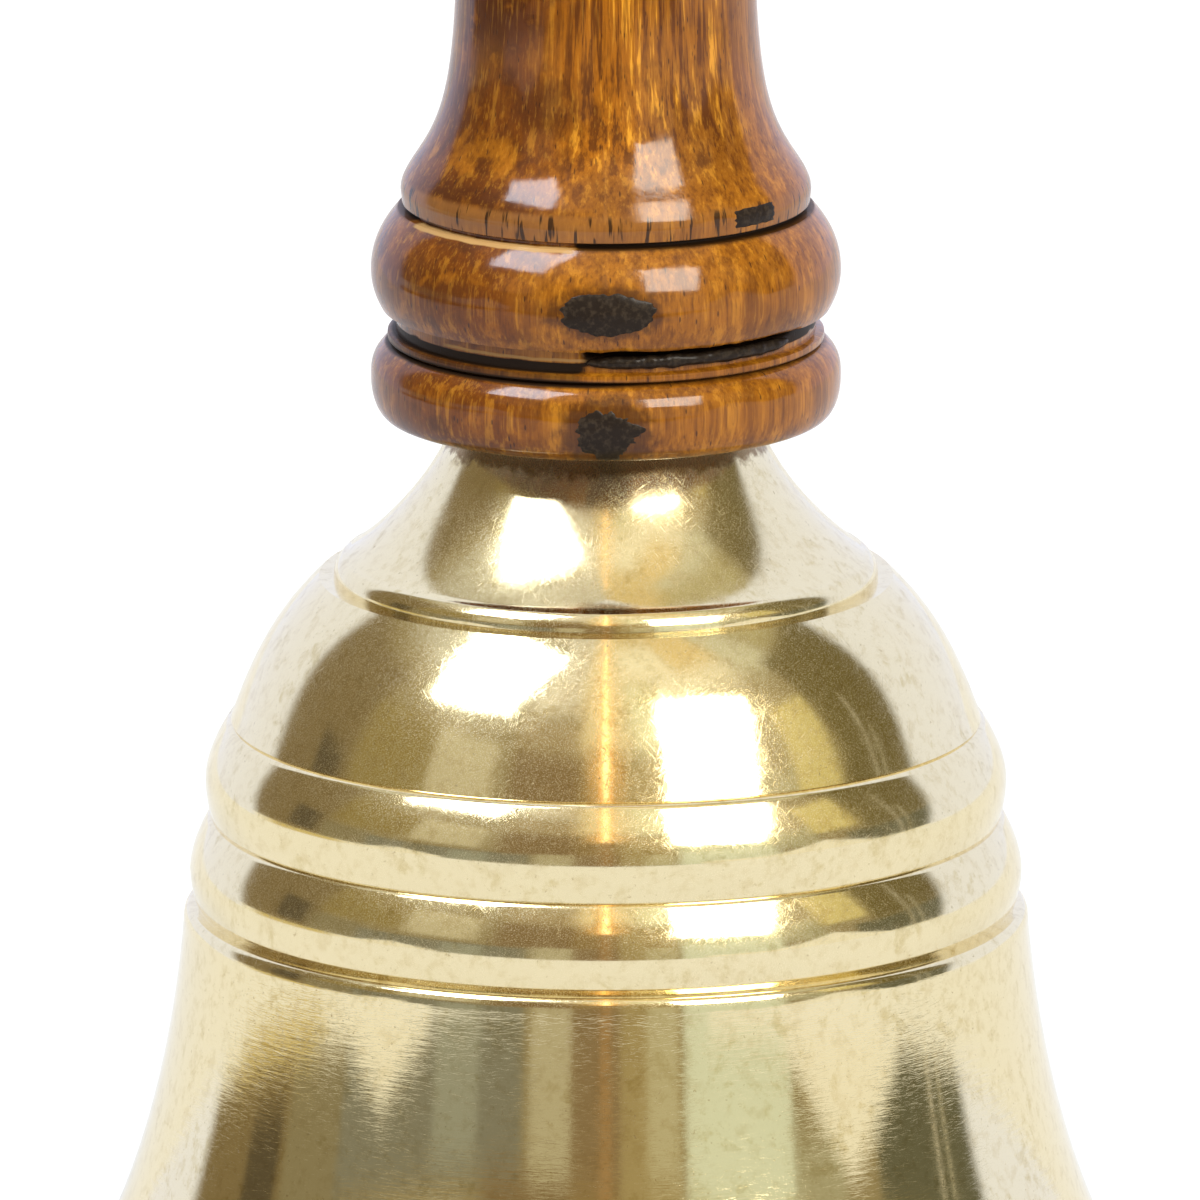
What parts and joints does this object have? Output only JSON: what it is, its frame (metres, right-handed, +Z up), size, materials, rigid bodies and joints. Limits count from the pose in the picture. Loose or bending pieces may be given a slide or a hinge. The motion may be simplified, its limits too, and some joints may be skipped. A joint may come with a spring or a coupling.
{
  "type": "hand bell",
  "caption": "Brass hand bell with a turned wooden handle clamped on by a through stud, and a clapper hung inside on a ring link.",
  "frame": {"origin": "centre of the mouth, in the plane of the rim that the bell stands on", "axes": "+Z up the axis through the handle, -Y towards the front, where the two filled knots are, and +X to the right"},
  "size_m": [0.098, 0.098, 0.2181],
  "materials": {
    "polished_brass": "polished",
    "lacquered_wood": "gloss lacquer",
    "dark_filler": "satin",
    "zinc_steel": "zinc plated",
    "spring_steel": "oiled",
    "wire_steel": "drawn",
    "clapper_brass": "turned"
  },
  "bodies": {
    "bell": {"bell_shell": "polished_brass", "handle": "lacquered_wood", "handle_stud": "zinc_steel", "crown_washer": "zinc_steel", "lock_washer": "spring_steel", "crown_nut": "zinc_steel", "cap_washer": "polished_brass", "cap_nut": "polished_brass", "knot_filler_upper": "dark_filler", "knot_filler_lower": "dark_filler", "groove_filler": "dark_filler", "lip_filler": "dark_filler"},
    "link": {"clapper_link": "wire_steel"},
    "clapper": {"clapper_rod": "wire_steel", "clapper_jam_nut": "zinc_steel", "clapper_ball": "clapper_brass"}
  },
  "joints": [
    {"name": "link_swing", "type": "hinge", "parent": "bell", "child": "link", "pos_m": [0, 0, 0.0567], "axis": [1, 0, 0], "range_deg": [-9, 9]},
    {"name": "clapper_swing", "type": "hinge", "parent": "link", "child": "clapper", "pos_m": [0, 0, 0.05035], "axis": [0, 1, 0], "range_deg": [-36, 36]}
  ]
}
